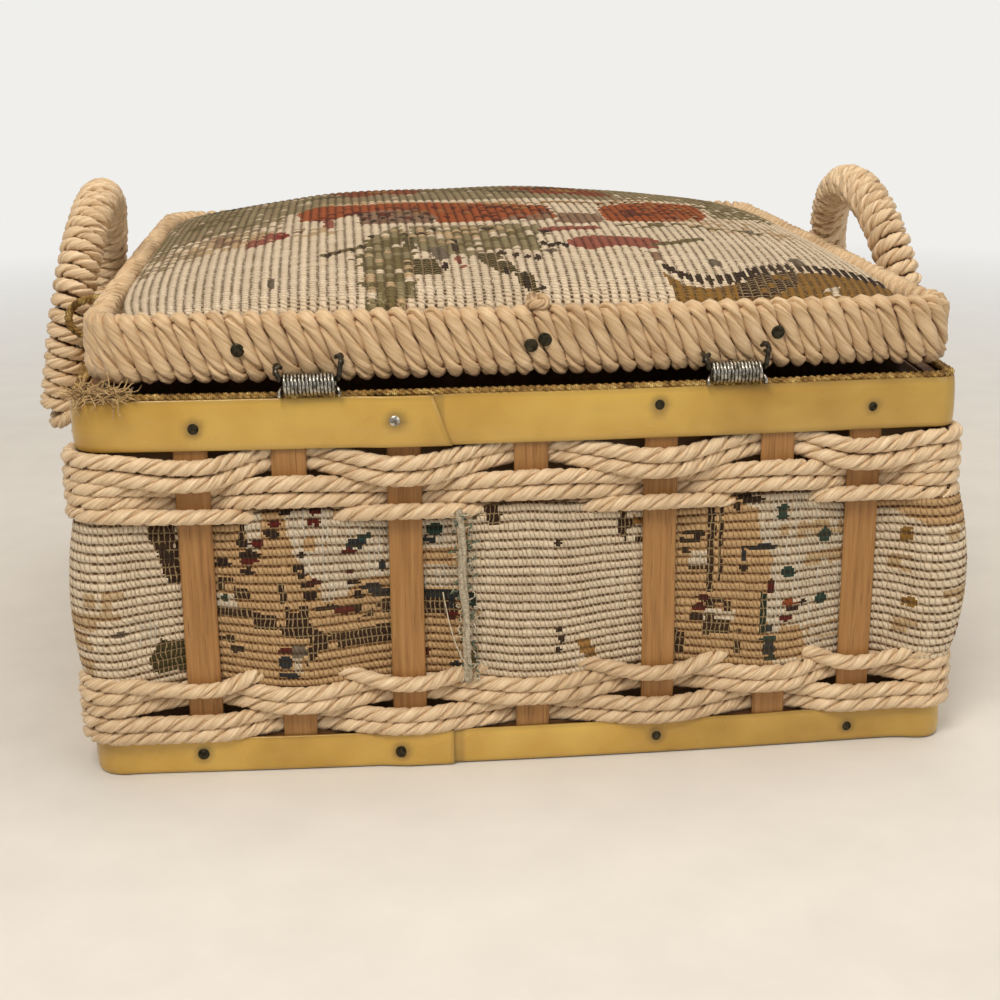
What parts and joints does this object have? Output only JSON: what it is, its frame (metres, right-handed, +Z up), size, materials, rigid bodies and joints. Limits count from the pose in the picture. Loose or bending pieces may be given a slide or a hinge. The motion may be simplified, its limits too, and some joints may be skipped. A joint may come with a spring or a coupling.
{
  "type": "sewing basket",
  "caption": "Square woven sewing basket with a padded tapestry lid on spring hinges, a cord-wound lid rim and an arched cord-wound handle at each end.",
  "frame": {"origin": "middle of the plan, on the base board's underside", "axes": "+X along the hinge wall, from one handle to the other; -Y out of the hinge wall; +Z up"},
  "size_m": [0.2882, 0.257, 0.1557],
  "materials": {
    "slat_wood": "dark-stained, satin",
    "weaving_cord": "twisted paper cord, matt",
    "base_board": "pressed board, matt",
    "lining_box": "satin over card",
    "hoop_wood": "plain",
    "band_plastic": "aged yellow plastic, semi-gloss",
    "body_tapestry": "ribbed tapestry, matt",
    "gold_braid": "metallic braid",
    "handle_wood": "plain",
    "handle_cord": "twisted paper cord, matt",
    "rim_wood": "plain",
    "rim_cord": "twisted paper cord, matt",
    "lid_board": "pressed board, matt",
    "lid_tapestry": "ribbed tapestry, matt",
    "lid_lining": "satin over card",
    "loop_cord": "braided metallic cord",
    "spring_steel": "darkened spring wire"
  },
  "bodies": {
    "body": {"slat_01": "slat_wood", "slat_02": "slat_wood", "slat_03": "slat_wood", "slat_04": "slat_wood", "slat_05": "slat_wood", "slat_06": "slat_wood", "slat_07": "slat_wood", "slat_08": "slat_wood", "slat_09": "slat_wood", "slat_10": "slat_wood", "slat_11": "slat_wood", "slat_12": "slat_wood", "slat_13": "slat_wood", "slat_14": "slat_wood", "slat_15": "slat_wood", "slat_16": "slat_wood", "slat_17": "slat_wood", "slat_18": "slat_wood", "slat_19": "slat_wood", "slat_20": "slat_wood", "slat_21": "slat_wood", "slat_22": "slat_wood", "slat_23": "slat_wood", "slat_24": "slat_wood", "slat_25": "slat_wood", "slat_26": "slat_wood", "slat_27": "slat_wood", "slat_28": "slat_wood", "weaving_cord_a": "weaving_cord", "weaving_cord_b": "weaving_cord", "weaving_cord_c": "weaving_cord", "weaving_cord_d": "weaving_cord", "weaving_cord_e": "weaving_cord", "weaving_cord_f": "weaving_cord", "base_board": "base_board", "lining_box": "lining_box", "top_hoop": "hoop_wood", "bottom_hoop": "hoop_wood", "top_band": "band_plastic", "bottom_band": "band_plastic", "tapestry_band": "body_tapestry", "top_braid": "gold_braid", "left_handle_core": "handle_wood", "left_handle_winding": "handle_cord", "right_handle_core": "handle_wood", "right_handle_winding": "handle_cord", "left_hinge_spring": "spring_steel", "left_hinge_body_staple": "spring_steel", "right_hinge_spring": "spring_steel", "right_hinge_body_staple": "spring_steel"},
    "lid": {"rim_frame": "rim_wood", "rim_winding": "rim_cord", "lid_board": "lid_board", "lid_pad": "lid_tapestry", "lid_lining": "lid_lining", "lid_cord_loop": "loop_cord", "left_hinge_lid_staple": "spring_steel", "right_hinge_lid_staple": "spring_steel"}
  },
  "joints": [
    {"name": "lid_hinge", "type": "hinge", "parent": "body", "child": "lid", "pos_m": [0, -0.12511, 0.1152], "axis": [1, 0, 0], "range_deg": [0, 100]}
  ]
}
